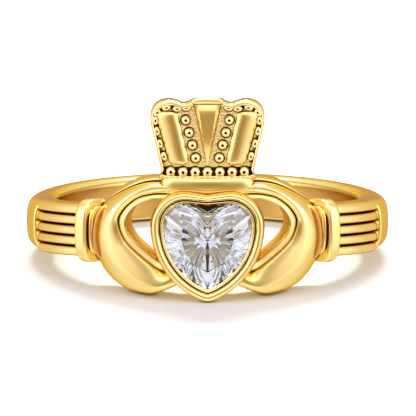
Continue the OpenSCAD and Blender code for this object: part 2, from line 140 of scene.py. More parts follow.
# The same for the dusk behind the ring, whose middle is 20 degrees under the horizon. It reaches
# 38 degrees up and down, and by its squeeze only 17 to the sides
DUSK_WAY, DUSK_REACH, DUSK_SQUEEZE = (0.0, 0.94, -0.34), 38, (2.6, 1.0, 1.0)
DUSK = [(0.0, "#ffffff"), (0.35, "#efe4d0"), (0.75, "#bda47c"), (1.0, "#a3875a")]
# Bright cloths hung round the ring, those at the side on both sides. Columns: way to the middle,
# reach of the full and of the fading brightness in degrees, brightness over the room's
CLOTHS = [
    ((0.80, -0.40, 0.45), 14, 40, 0.80), ((0.98, -0.12, 0.02), 12, 34, 0.40),
    ((0.75, -0.66, -0.06), 9, 28, 0.22), ((0.0, -0.40, 0.92), 14, 40, 0.90),
    ((0.0, -0.75, -0.66), 10, 34, 0.45), ((0.0, 0.80, 0.60), 20, 60, 0.15),
]
CLOTH_TINT = (1.0, 0.97, 1.26)


def ramp(tree, value, stops):
    """A smooth ramp over a value from 0 to 1. Each stop is a place and a colour."""
    made = node(tree, "ValToRGB", i0=value)
    made.color_ramp.interpolation = "EASE"
    while len(made.color_ramp.elements) < len(stops):
        made.color_ramp.elements.new(0.5)
    for element, (place, code) in zip(made.color_ramp.elements, stops):
        element.position = place
        element.color = linear(code)
    return made.outputs[0]


def nearness(tree, way, middle, reach, full=0.0, settings=(), **more):
    """How near a way is to a middle one: 0 from reach degrees off, and 1 within full degrees."""
    cosine = node(tree, "VectorMath", {"operation": "DOT_PRODUCT"}, i0=way, i1=middle)
    start, end = math.cos(math.radians(reach)), math.cos(math.radians(full))
    scaled = node(tree, "MapRange", settings, Value=cosine.outputs["Value"], From_Min=start,
                  From_Max=end, **more)
    return scaled.outputs[0]


world = bpy.data.worlds.new("studio_room")
world.use_nodes = True
tree = world.node_tree
tree.nodes.clear()
way = node(tree, "TexCoord").outputs["Generated"]
height = node(tree, "SeparateXYZ", Vector=way).outputs["Z"]
upward = node(tree, "MapRange", Value=height, From_Min=-1.0, From_Max=1.0).outputs[0]
ahead = node(tree, "VectorMath", {"operation": "DOT_PRODUCT"}, i0=way, i1=(0.0, -1.0, 0.0))
front = node(tree, "MapRange", Value=ahead.outputs["Value"], From_Min=HORIZON_START,
             From_Max=HORIZON_FULL).outputs[0]
horizon = blend(tree, front, linear("#ffffff"), ramp(tree, upward, HORIZON))
to_camera = (0.0, -math.cos(CAMERA_ELEVATION), math.sin(CAMERA_ELEVATION))
camera_spot = ramp(tree, nearness(tree, way, to_camera, CAMERA_SPOT_REACH), CAMERA_SPOT)
squeezed = node(tree, "VectorMath", {"operation": "MULTIPLY"}, i0=way, i1=DUSK_SQUEEZE)
squeezed = node(tree, "VectorMath", {"operation": "NORMALIZE"}, i0=squeezed.outputs[0]).outputs[0]
dusk = ramp(tree, nearness(tree, squeezed, DUSK_WAY, DUSK_REACH), DUSK)
walls = ramp(tree, upward, ROOM)
for shade in (horizon, camera_spot, dusk):
    walls = blend(tree, 1.0, walls, shade, "MULTIPLY")
for middle, full_reach, fade_reach, gain in CLOTHS:
    for side in (-1, 1) if middle[0] else (1,):
        toward = np.array(middle) * (side, 1, 1) / np.linalg.norm(middle)
        glow = nearness(tree, way, toward.tolist(), fade_reach, full_reach,
                        {"interpolation_type": "SMOOTHSTEP"}, To_Max=gain)
        cloth = node(tree, "VectorMath", {"operation": "SCALE"}, i0=CLOTH_TINT, Scale=glow)
        added = node(tree, "VectorMath", {"operation": "ADD"}, i0=walls, i1=cloth.outputs[0])
        walls = added.outputs[0]
room = node(tree, "Background", Color=walls, Strength=1.10)
node(tree, "OutputWorld", Surface=room.outputs[0])
bpy.context.scene.world = world
floor.visible_glossy = False

# Soft boxes. Columns: name, place, size across and up, power in watts. Each looks at the ring.
SOFT_BOXES = [
    ("soft_box_top", (0.0, 0.28, 0.42), 0.26, 0.14, 3.4),
    ("soft_box_left", (-0.42, -0.16, 0.20), 0.12, 0.40, 0.25),
    ("soft_box_right", (0.42, -0.16, 0.20), 0.12, 0.40, 0.25),
]
for name, place, across, up, power in SOFT_BOXES:
    lamp = bpy.data.lights.new(name, "AREA")
    lamp.shape = "RECTANGLE"
    lamp.size = across
    lamp.size_y = up
    lamp.energy = power
    box = bpy.data.objects.new(name, lamp)
    away = np.array(place) - np.array(CAMERA_TARGET)
    tip = math.atan2(math.hypot(away[0], away[1]), away[2])
    box.location = place
    box.rotation_euler = (tip, 0, math.atan2(away[1], away[0]) + math.pi / 2)
    bpy.context.collection.objects.link(box)


# Polished yellow gold, 14 carat, cast and then buffed on a wheel: a warm mirror with the faint
# waviness and fine hazing that a buffed casting keeps.
# The brown of the painted shade in creases
CREASE_SHADE_BROWN = "#573210"
TINT = "#e8c47c"
CLOUD_MM = 1.5


def gold(name, colour, roughness, haze, wave_mm, wave_height_mm, grain_mm=0.0, grain_height_mm=0.0,
         crease_mm=0.24):
    """Gold of a colour. Noise on Object coordinates varies the roughness by haze, and lifts the
    surface in soft waves and, where grain_mm is given, in a fine grain with darker pits. Creases
    are darkened to a brown as painted shade, where a look around over crease_mm finds metal."""
    material, tree = new_material(name)
    where = node(tree, "TexCoord").outputs["Object"]
    cloud = node(tree, "TexNoise", Vector=where, Scale=1000 / CLOUD_MM, Detail=4.0).outputs["Fac"]
    rough = node(tree, "MapRange", Value=cloud, From_Min=0.3, From_Max=0.7,
                 To_Min=roughness - haze, To_Max=roughness + haze)
    wave = node(tree, "TexNoise", Vector=where, Scale=1000 / wave_mm, Detail=1.0).outputs["Fac"]
    lift = node(tree, "Bump", Height=wave, Distance=wave_height_mm / 1000, Strength=1.0)
    # Painted shade: the colour darkens to brown in creases, by how much metal a look around finds
    open_share = node(tree, "AmbientOcclusion", {"samples": 8}, Distance=crease_mm / 1000)
    bright_share = node(tree, "MapRange", Value=open_share.outputs["AO"], From_Min=0.08, From_Max=0.55)
    if grain_mm:
        grain = node(tree, "TexVoronoi", Vector=where, Scale=1000 / grain_mm).outputs["Distance"]
        lift = node(tree, "Bump", Height=grain, Distance=grain_height_mm / 1000, Strength=1.0,
                    Normal=lift.outputs[0])
        pits = node(tree, "MapRange", Value=grain, From_Min=0.10, From_Max=0.42, To_Min=0.45,
                    To_Max=1.0)
        bright_share = node(tree, "Math", {"operation": "MULTIPLY"}, i0=bright_share.outputs[0],
                     i1=pits.outputs[0])
    tone = blend(tree, bright_share.outputs[0], linear(CREASE_SHADE_BROWN), linear(colour))
    metal = node(tree, "BsdfPrincipled", Base_Color=tone, Metallic=1.0, Roughness=rough.outputs[0],
                 Specular_Tint=linear(TINT), Normal=lift.outputs[0])
    node(tree, "OutputMaterial", Surface=metal.outputs[0])
    return material


# Buffed bright: all of the ring that the wheel reaches
polished_gold = gold("buffed_yellow_gold", "#f5d88e", 0.17, 0.03, 1.6, 0.003)
# Burnished by the beading tool, and paler than the rest as a painted highlight: the beads
bead_gold_painted_highlight = gold("burnished_highlight_painted_gold", "#f9e4a8", 0.09, 0.01, 1.0, 0.001)
# Deep creases and cuts, and the beads' hollows: near-black gold as painted shade
dark_shade_gold = gold("painted_shade_dark_gold", "#3a2008", 0.45, 0.04, 1.0, 0.003)
# Wider hollows: brown gold as painted shade
brown_shade_gold = gold("painted_shade_brown_gold", "#6e4418", 0.40, 0.04, 1.0, 0.003)
# Sanded fine, and darker as painted shade: the inside of the band
inside_satin_shade_gold = gold("satin_and_shade_yellow_gold", "#cfa65a", 0.26, 0.04, 1.2, 0.003)
# The skin of the casting, barely buffed: the wrists and the walls of the hands' openings
skin_gold = gold("cast_skin_yellow_gold", "#dcb062", 0.55, 0.04, 1.2, 0.002)
# Stippled with a fine punch: the crown's field
stippled_gold = gold("stippled_yellow_gold", "#f8dc98", 0.42, 0.05, 0.8, 0.006, 0.17, 0.035, 0.42)


# The ring lies on its side, so it is turned and lifted as the casting is, to rest on the heart's
# tip, the two hands and the back edge of the band. Sizes of the casting, in millimetres.
LEAN = math.radians(4.59065)
LIFT = 2.06349
TO_MIDDLE = 0.772514
BORE_R = 8.65
# Points nearer than this are one, in metres
MERGE = 1e-7


def lay_down(points):
    """Points of the ring's frame in mm, turned by the lean about X and lifted, in metres. The table
    flattens what would dip under it."""
    x, y, z = np.moveaxis(np.asarray(points, float), -1, 0)
    turned_y = y * math.cos(LEAN) + z * math.sin(LEAN) + TO_MIDDLE
    turned_z = np.maximum(z * math.cos(LEAN) - y * math.sin(LEAN) + LIFT, 0)
    return np.stack([x, turned_y, turned_z], -1) / 1000


def ring_piece(mesh):
    """A piece of the ring from a mesh, with coinciding points merged and faces turned outwards."""
    work = bmesh.new()
    work.from_mesh(mesh)
    bmesh.ops.remove_doubles(work, verts=work.verts, dist=MERGE)
    bmesh.ops.recalc_face_normals(work, faces=work.faces)
    work.to_mesh(mesh)
    work.free()
    piece = bpy.data.objects.new(mesh.name, mesh)
    bpy.context.collection.objects.link(piece)
    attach(piece, "root")
    return piece


def cast(name, rings, finish, ends="closed", crisp=42, strip=None):
    """One piece over rings of points, shape (rings, points, 3) or (shells, rings, points, 3). Each
    ring closes on itself. Ends: closed by a fan to the ring's middle, looped back to the start, or
    poles, where the first and last rings are points already. Edges of more than crisp degrees stay
    sharp. A strip is a second finish, the first point of its faces, and how many they are."""
    rings = np.asarray(rings, float)
    rings = rings[None] if rings.ndim == 3 else rings
    if ends == "closed":
        middle = np.broadcast_to(rings.mean(axis=2, keepdims=True), rings.shape)
        rings = np.concatenate([middle[:, :1], rings, middle[:, -1:]], axis=1)
    shells, m, n = rings.shape[:3]
    index = np.arange(shells * m * n).reshape(shells, m, n)
    last = None if ends == "looped" else -1
    a = index[:, :last]
    d = np.roll(index, -1, axis=1)[:, :last]
    faces = np.stack([a, np.roll(a, -1, axis=2), np.roll(d, -1, axis=2), d], -1).reshape(-1, 4)
    mesh = bpy.data.meshes.new(name)
    mesh.from_pydata(lay_down(rings.reshape(-1, 3)).tolist(), [], faces.tolist())
    mesh.materials.append(finish)
    if strip:
        second_finish, first, count = strip
        mesh.materials.append(second_finish)
        in_strip = (np.arange(len(faces)) % n - first) % n < count
        mesh.polygons.foreach_set("material_index", in_strip.astype(np.int32))
    piece = ring_piece(mesh)
    mesh.polygons.foreach_set("use_smooth", np.ones(len(mesh.polygons), bool))
    mesh.set_sharp_from_angle(angle=math.radians(crisp))
    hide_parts("ring_casting")
    return piece


def cast_pair(name, rings, finish, **more):
    """The same piece on the right, and mirrored in X on the left."""
    cast(name + "_right", rings, finish, **more)
    cast(name + "_left", np.asarray(rings, float) * (-1, 1, 1), finish, **more)


def curve(table, u, closed=False):
    """The Catmull-Rom curve through a table's rows at u from 0 to 1. A closed one runs back to its
    first row at 1."""
    table = np.asarray(table, float)
    rows = len(table)
    s = np.asarray(u, float) * (rows if closed else rows - 1)
    i = np.floor(s).astype(int) if closed else np.clip(np.floor(s).astype(int), 0, rows - 2)
    t = (s - i)[..., None]

    def row(j):
        return table[(i + j) % rows] if closed else table[np.clip(i + j, 0, rows - 1)]

    a, b, c, d = row(-1), row(0), row(1), row(2)
    bend = (2 * a - 5 * b + 4 * c - d) * t**2
    return 0.5 * (2 * b + (c - a) * t + bend + (3 * b - a - 3 * c + d) * t**3)


def mix(a, b, t):
    """From a at t = 0 to b at t = 1, on a straight line."""
    return a + (b - a) * t


def around(angle, radius, z):
    """Points at an angle in degrees from the face, a radius and a height along the finger."""
    turn = np.radians(angle)
    return np.stack(np.broadcast_arrays(radius * np.sin(turn), -radius * np.cos(turn), z), -1)


def over(x, radius, z):
    """Points at a distance to the side, on the round of a given radius."""
    x = np.asarray(x, float)
    y = -np.sqrt(np.maximum(radius * radius - x * x, 0))
    return np.stack(np.broadcast_arrays(x, y, z), -1)


# The band: a D-section hoop, drawn as a cast shank and buffed. It thickens from the back of the
# finger towards the shoulders, and climbs a little to meet the cuffs.
BAND_W, BAND_T, BAND_FLARE, SHOULDER_T, SHOULDER_RISE = 2.65, 1.5, 0.2, 1.8, 0.5
# In degrees from the face: the collar, the thin bar beside it and the cuff's back end; and how far
# the band runs into the rim there
COLLAR_A, THIN_BAR_A, CUFF_A, BAND_TUCK = 41.2, 38.75, 70.4, 0.4
# Half of the section, from the middle inside to the middle outside. Columns: height, half width
HALF_SECTION = np.array([
    [0.00, 0.00], [0.00, 0.40], [0.00, 0.72], [0.05, 0.85], [0.15, 0.93], [0.28, 0.985],
    [0.45, 1.00], [0.66, 0.985], [0.82, 0.90], [0.93, 0.72], [0.985, 0.42], [1.00, 0.00],
])
SECTION = np.concatenate([HALF_SECTION, HALF_SECTION[-2:0:-1] * (1, -1)])
SECTION_POINTS = 72
SHARES = curve(SECTION, np.arange(SECTION_POINTS) / SECTION_POINTS, closed=True)
# Columns: share of the way round to the back, rise, thickness over the back's
BAND_COURSE = np.array([
    [0.00, 0.36, 1.00], [0.07, 0.22, 0.96], [0.16, 0.06, 0.82], [0.40, 0.00, 0.40],
    [0.70, 0.00, 0.12], [1.00, 0.00, 0.00],
])
# Faces with their middle this near to the finger hole's wall are satin, and darker as painted shade
SATIN_SHADE_D = 0.09


def hoop(angle, width, thick, mid, inner=0.0):
    """Rings of the band's section at angles: its widths, thicknesses and middles scale the
    section's shares, and the inside lies on the finger hole, or a little off it."""
    angle, width, thick, mid = (
        np.broadcast_to(np.asarray(v, float), np.shape(angle))[:, None]
        for v in (angle, width, thick, mid)
    )
    radius = BORE_R + inner + np.maximum(SHARES[:, 0], 0) * (thick - inner)
    return around(angle, radius, mid + SHARES[:, 1] * width / 2)


def eased(u, column):
    """A column of the band's course at u: the mean over a short stretch, which rounds its bends."""
    stretch = np.linspace(-0.05, 0.05, 21)
    places = np.abs(u[:, None] + stretch)
    return np.interp(places, BAND_COURSE[:, 0], BAND_COURSE[:, column]).mean(axis=1)


turn = np.linspace(CUFF_A - BAND_TUCK, 360 - CUFF_A + BAND_TUCK, 301)
share = np.clip((np.minimum(turn, 360 - turn) - CUFF_A) / (180 - CUFF_A), 0, 1)
band_w = BAND_W + BAND_FLARE * (1 - share) ** 3
band_t = mix(BAND_T, SHOULDER_T, eased(share, 2))
band = cast("band", hoop(turn, band_w, band_t, SHOULDER_RISE * eased(share, 1)), polished_gold)
band.data.materials.append(inside_satin_shade_gold)
spots = np.zeros(len(band.data.polygons) * 3)
band.data.polygons.foreach_get("center", spots)
middle, above = lay_down([[0, 0, 0], [0, 0, 1]])
axis = (above - middle) / np.linalg.norm(above - middle)
off = spots.reshape(-1, 3) - middle
from_axis = np.linalg.norm(off - (off @ axis)[:, None] * axis, axis=1) * 1000
# The inside faces take the satin gold, whose darker colour is painted shade
satin_and_shade = from_axis < BORE_R + SATIN_SHADE_D
band.data.polygons.foreach_set("material_index", satin_and_shade.astype(np.int32))


# The cuffs: each a sleeve end of five ribs side by side, with grooves that a graver has deepened
# between them. The ribs round off just before the rim at their back end.
CUFF_W, CUFF_T, GROOVE_D, RIBS = 3.0, 1.72, 0.36, 5
# The ribs' squareness, the share of the width that they take, and the points across one
RIB_SQUARE, RIBS_SHARE, RIB_POINTS = 4.5, 0.985, 16
# In degrees: how far before the cuff's end the ribs are gone, and over what stretch they fade
RIB_END_A, RIB_FADE_A = 0.9, 2.2
# The cuff's side, from the middle inside. Columns: height, half width
CUFF_SIDE = [
    [0.00, 0.00], [0.00, 0.60], [0.02, 0.80], [0.12, 0.93], [0.30, 0.985], [0.50, 1.00],
    [0.70, 0.985],
]
SIDE_POINTS = 22
# The shoulder's climb at the collar and at the cuff's end, over its whole rise
CLIMB_AT_COLLAR, CLIMB_AT_END = 1.1, 0.36


def shoulder_mid(angle):
    """The height of the shoulder's middle, which falls from the collar to the cuff's end."""
    share = (angle - COLLAR_A) / (CUFF_A - COLLAR_A)
    return SHOULDER_RISE * mix(CLIMB_AT_COLLAR, CLIMB_AT_END, share)


def cuff():
    """Rings across the cuff. Its sides are a smooth curve, its top a row of domes, each one minus a
    power of the distance from its middle. The domes fade to the groove's depth near the rim, where
    the rings stand closer, over the last 3 degrees."""
    angle = np.concatenate([
        np.linspace(COLLAR_A, CUFF_A - 3, 60), np.linspace(CUFF_A - 2.9, CUFF_A, 30)])[:, None]
    side = curve(CUFF_SIDE, np.linspace(0, 1, SIDE_POINTS))
    t = np.linspace(-1, 1, RIB_POINTS + 1)[:-1]
    dome = np.tile(1 - np.abs(t) ** RIB_SQUARE, RIBS)
    across = ((np.arange(RIBS)[:, None] + (t + 1) / 2) / RIBS * 2 - 1).ravel() * RIBS_SHARE
    left = (CUFF_A - RIB_END_A - angle) / RIB_FADE_A
    fade = np.sqrt(np.clip(1 - np.clip(1 - left, 0, 1) ** 2, 0, 1))
    top = 1 - GROOVE_D / CUFF_T * (1 - dome * fade)
    sides = np.broadcast_to(side[:, 0], (len(angle), SIDE_POINTS))
    height = np.concatenate([sides, top[:, ::-1], sides[:, ::-1]], axis=1)
    width = np.concatenate([side[:, 1], across[::-1], -side[::-1, 1]])
    return around(angle, BORE_R + height * CUFF_T, shoulder_mid(angle) + width * CUFF_W / 2)


cast_pair("cuff", cuff(), polished_gold, crisp=50)


# Bars that cross the shoulder, soldered on as half-round wire and smoothed: the rim at the cuff's
# back end, the fat collar at the wrist, and the thin bar beside it.
RIM_W, RIM_LIFT, COLLAR_W, COLLAR_L, COLLAR_T, THIN_BAR_W = 0.30, 0.07, 0.85, 3.6, 2.3, 0.30
BAR_SQUARE, COLLAR_SQUARE = 2.4, 4.5
# The groove between collar and thin bar, a near-black strip of painted shade: angle in degrees,
# width, length and thickness
GROOVE_A, GROOVE_W, GROOVE_L, GROOVE_T = 39.12, 0.17, 2.5, 2.13
# The bars and the wrists stay this far off the finger hole, on which the cuffs and hands lie
BAR_INNER, WRIST_INNER = 0.05, 0.03


def cross_bar(angle, width, length, thick, square=BAR_SQUARE):
    """A bar across the band: rings that shrink to each side as a superellipse does, whose power
    says how square the bar is."""
    t = np.sin(np.linspace(-math.pi / 2, math.pi / 2, 25))
    drop = width / 2 * (1 - np.maximum(1 - np.abs(t) ** square, 0) ** (1 / square))
    turned = angle + np.degrees(t * width / 2 / (BORE_R + thick))
    return hoop(turned, length - 2 * drop, thick - drop, shoulder_mid(angle), BAR_INNER)


rim_bar = cross_bar(CUFF_A, RIM_W, BAND_W + 2 * RIM_LIFT, SHOULDER_T + RIM_LIFT)
cast_pair("cuff_rim", rim_bar, polished_gold)
collar = cross_bar(COLLAR_A, COLLAR_W, COLLAR_L, COLLAR_T, COLLAR_SQUARE)
cast_pair("collar", collar, polished_gold)
# A near-black strip of painted shade in the groove
cast_pair("collar_groove_shade", cross_bar(GROOVE_A, GROOVE_W, GROOVE_L, GROOVE_T), dark_shade_gold)
thin_bar = cross_bar(THIN_BAR_A, THIN_BAR_W, COLLAR_L - COLLAR_W, COLLAR_T - THIN_BAR_W)
cast_pair("thin_bar", thin_bar, polished_gold)

# The wrist: a short sleeve between the thin bar and the hand, waisted, with a lip that flares out
# against the hand's edge. Columns: share of the way from the hand to the bar, radius, half width
WRIST = np.array([
    [0.00, 10.30, 1.40], [0.04, 10.45, 1.42], [0.14, 10.50, 1.46], [0.22, 10.60, 1.52],
    [0.28, 10.76, 1.58], [0.36, 10.75, 1.58], [0.44, 10.44, 1.48], [0.52, 10.10, 1.38],
    [1.00, 9.90, 1.36],
])
# Its front end: distance to the side, how much that bows in over a mm of height squared, the height
# where it is widest, and the radius at which it is measured
WRIST_END_X, WRIST_END_BOW, WRIST_END_MID, WRIST_END_R = 5.74, 0.125, 0.35, 10.3


def wrist():
    """Rings along the sleeve. Its front end follows the hand's edge: how far to the side it stands
    depends on the height, by a parabola."""
    rows = curve(WRIST, np.linspace(0, 1, 73))
    inner = BORE_R + WRIST_INNER
    z = shoulder_mid(COLLAR_A) + SHARES[None, :, 1] * rows[:, 2:]
    radius = inner + np.maximum(SHARES[None, :, 0], 0) * (rows[:, 1:2] - inner)
    end_x = WRIST_END_X - WRIST_END_BOW * (z - WRIST_END_MID) ** 2
    end = np.degrees(np.arcsin(end_x / WRIST_END_R))
    return around(mix(end, COLLAR_A, rows[:, :1]), radius, z)


cast_pair("wrist", wrist(), skin_gold)


# The hands: each a puffed, hollow-cheeked C that runs from under the crown round to the foot of the
# heart, with a thin lip round its opening and a ledge behind it. Cast, then buffed bright.
HAND_REACH, HAND_H, HAND_MID, HAND_T, LEDGE_T, LEDGE_W = 6.34, 6.45, 0.42, 2.35, 0.7, 0.20
UNDERCUT, CREASE_D, WALL_SLANT = 0.2, 0.22, 0.40
LEDGE_R = BORE_R + LEDGE_T
# Columns, the side and the height of each line: outer edge, crease, edge of the opening, as shares
# of the reach and of half the height. Then the fullness as a share of the thickness, and how much
# deeper than the rest the crease is
HAND = np.array([
    [0.26, 0.98, 0.26, 0.81, 0.26, 0.72, 0.82, -0.10],
    [0.42, 1.00, 0.42, 0.81, 0.42, 0.71, 0.84, -0.10],
    [0.54, 0.97, 0.51, 0.79, 0.50, 0.70, 0.88, -0.10],
    [0.66, 0.88, 0.60, 0.74, 0.57, 0.66, 0.92, -0.08],
    [0.78, 0.74, 0.68, 0.63, 0.64, 0.58, 0.95, -0.04],
    [0.895, 0.56, 0.74, 0.50, 0.69, 0.47, 0.98, 0.00],
    [0.98, 0.32, 0.78, 0.34, 0.72, 0.34, 1.00, 0.00],
    [1.02, 0.02, 0.77, 0.16, 0.71, 0.18, 1.00, 0.00],
    [1.01, -0.24, 0.73, -0.01, 0.67, 0.05, 1.00, 0.00],
    [0.965, -0.46, 0.67, -0.14, 0.61, -0.06, 1.00, 0.00],
    [0.905, -0.65, 0.60, -0.26, 0.54, -0.16, 1.00, 0.02],
    [0.81, -0.83, 0.51, -0.40, 0.47, -0.26, 1.00, 0.06],
    [0.695, -0.945, 0.44, -0.50, 0.42, -0.32, 1.00, 0.14],
    [0.53, -1.00, 0.38, -0.55, 0.36, -0.37, 0.99, 0.26],
    [0.42, -0.95, 0.32, -0.56, 0.31, -0.41, 0.96, 0.10],
    [0.32, -0.87, 0.27, -0.54, 0.27, -0.43, 0.90, -0.10],
    [0.21, -0.76, 0.20, -0.50, 0.20, -0.42, 0.84, -0.14],
])
# Where the hand is fullest, as a share of the way to the crease, and how much nearer to the edge
# that is at its top and foot
FULLEST, FULLEST_SHIFT = 0.68, 0.26
# The puff's rise over the ledge where it starts, and on top of that at the hand's top
FLANK_RISE, FLANK_TOP_RISE = 0.02, 0.42
# Powers of the puff: of the way in its climb, of the climb at the top and at the side, of its fall
CLIMB_WAY, CLIMB_TOP, CLIMB_SIDE, FALL = 2.2, 0.62, 0.38, 2.2
# The notch before the lip: depth, and where it starts and how long it is, as shares of the way
NOTCH_D, NOTCH_START, NOTCH_SHARE = 0.07, 0.93, 0.07
# The opening's wall: how far under the lip's foot it starts, and the power of its way down
WALL_DROP, WALL_POWER = 0.04, 1.3
# The ridge behind the hand's top, columns: share of the way to the outer edge, rise over the ledge
RIDGE_SHAPE = np.array([
    [0.02, 0.20], [0.12, 0.42], [0.30, 0.55], [0.50, 0.56], [0.70, 0.56], [0.85, 0.53],
    [1.00, 0.46],
])
# The lip's section, columns: share of the way from the crease to the opening, rise over the crease
LIP_SHAPE = np.array([
    [0.03, 0.03], [0.06, 0.14], [0.12, 0.22], [0.24, 0.28], [0.42, 0.32], [0.60, 0.345],
    [0.76, 0.35], [0.86, 0.33], [0.93, 0.27], [0.98, 0.17], [1.00, 0.06],
])
# Height of the ledge's foot and of its edge's round. Points across the puff, the opening's wall and
# the back
LEDGE_EDGE = np.array([0.0, 0.06, LEDGE_T - 0.06])
PUFF_POINTS, WALL_POINTS, BACK_POINTS = 44, 8, 8
WALL_START = len(LEDGE_EDGE) + len(RIDGE_SHAPE) + PUFF_POINTS + len(LIP_SHAPE)


def hand():
    """Rings across the hand: from the ledge up a superellipse to the fullest line, down a power
    curve to the crease, over the round lip, down the opening's wall and back along the bore."""
    rows = curve(HAND, np.linspace(0, 1, 170))
    spots = rows[:, :6].reshape(-1, 3, 2) * (HAND_REACH, HAND_H / 2) + (0, HAND_MID)
    edge, crease, gap = np.moveaxis(spots, 1, 0)
    out = (edge - crease) / np.linalg.norm(edge - crease, axis=1, keepdims=True)
    sideways, rise = np.clip(out[:, :1], 0, 1), out[:, 1:]
    upward = np.clip(rise, 0, 1)
    ledge = edge + out * rise * LEDGE_W
    foot = gap + out * (UNDERCUT * np.maximum(-rise, 0) - WALL_SLANT * out[:, :1] ** 6)
    full = BORE_R + rows[:, 6:7] * HAND_T
    deeper = rows[:, 7:]
    low = full - CREASE_D - NOTCH_D - deeper

    def line(a, b, share, radius):
        """Points on the way from a to b by share, each at its radius."""
        p = a[:, None] + (b - a)[:, None] * np.asarray(share)[None, :, None]
        return over(p[..., 0], np.broadcast_to(radius, p.shape[:2]), p[..., 1])

    q = (1 - np.cos(np.linspace(0, math.pi, PUFF_POINTS))) / 2
    fullest = FULLEST - FULLEST_SHIFT * np.abs(rise)
    round_off = np.maximum(1 - np.clip(1 - q / fullest, 0, 1) ** CLIMB_WAY, 0)
    climb = round_off ** mix(CLIMB_TOP, CLIMB_SIDE, sideways**4)
    fall = (CREASE_D + deeper) * np.clip((q - fullest) / (1 - fullest), 0, 1) ** FALL
    notch = NOTCH_D * np.clip((q - NOTCH_START) / NOTCH_SHARE, 0, 1) ** 1.5
    start = LEDGE_R + FLANK_RISE + FLANK_TOP_RISE * upward
    wall = np.linspace(0, 1, WALL_POINTS)
    return np.concatenate([
        line(ledge, ledge, np.zeros(len(LEDGE_EDGE)), BORE_R + LEDGE_EDGE),
        line(ledge, edge, RIDGE_SHAPE[:, 0], LEDGE_R + RIDGE_SHAPE[:, 1] * upward),
        line(edge, crease, q, mix(start, full, climb) - fall - notch),
        line(crease, gap, LIP_SHAPE[:, 0], low + LIP_SHAPE[:, 1]),
        line(gap, foot, wall, mix(low - WALL_DROP, BORE_R, wall**WALL_POWER)),
        line(foot, ledge, np.linspace(0, 1, BACK_POINTS + 2)[1:-1], BORE_R),
    ], axis=1)


unbuffed = (skin_gold, WALL_START, WALL_POINTS + BACK_POINTS - 1)
cast_pair("hand", hand(), polished_gold, crisp=35, strip=unbuffed)


# The heart bezel: a heart-shaped box round the stone, its rim rounded over, with a thin inner lip
# that is burnished onto the stone. Between rim and lip runs a fine groove.
STONE_W, STONE_H, CLEFT_D, STONE_D, STONE_TOP, CULET_GAP = 4.94, 4.85, 0.5, 2.85, 2.2, 0.2
BEZEL_W, RIM_H, RIM_CREST, SEAT_GAP = 0.63, 0.12, 0.04, 0.04
LIP_GAP, LIP_OVER, LIP_T = 0.05, 0.05, 0.11
# Shares of the stone's depth: over the girdle, and the girdle itself
TOP_SHARE, GIRDLE_SHARE = 0.25, 0.04
# Radius of the heart's long sides and of its tip, and the depth of the bezel's own cleft
SIDE_R, TIP_R, BEZEL_CLEFT_D = 3.8, 0.22, 0.1
# How much the bezel's outline grows there for each mm that it grows at the sides
AT_TIP, AT_TIP_R, AT_LOBES, AT_CLEFT = 1.02, 0.85, 0.93, 0.83
LOBES_Z = HAND_MID + STONE_TOP
TIP_Z = LOBES_Z - STONE_H
CULET_R = BORE_R + CULET_GAP
TABLE_R = CULET_R + STONE_D
GIRDLE_R = TABLE_R - TOP_SHARE * STONE_D
GIRDLE_H = GIRDLE_SHARE * STONE_D
LIP_LOW = GIRDLE_R + LIP_GAP
LIP_TOP = LIP_LOW + LIP_T
BEZEL_R = LIP_TOP + RIM_H + RIM_CREST
# The rim's width, and its round: half an ellipse from the outer wall to the groove, deeper outside
# than inside. Then the groove and the lip. Columns: distance from the stone as a share of the rim's
# width, depth under the top
BEZEL_RIM_W, ROUND_MID, ROUND_HALF, OUTER_DEPTH, INNER_DEPTH = 0.70, 0.635, 0.365, 0.60, 0.24
BEZEL_RIM = [
    (ROUND_MID + ROUND_HALF * math.cos(a),
     (1 - math.sin(a)) * mix(OUTER_DEPTH, INNER_DEPTH, (1 - math.cos(a)) / 2))
    for a in np.linspace(0, math.pi, 21)
] + [
    (0.262, 0.34), (0.245, 0.34), (0.235, 0.25), (0.22, 0.19), (0.19, 0.15), (0.15, 0.14),
    (0.11, 0.16), (0.085, 0.22),
]
# How far inside the solid's outline the foot and the wall stand, and the wall's height as a share
FOOT_IN, WALL_IN, WALL_SHARE = 0.27, 0.15, 0.45
# The hole behind the stone and the seat's narrow end, as shares of the stone
HOLE_SHARE, SEAT_SHARE, SEAT_RISE = 0.53, 0.56, 0.08


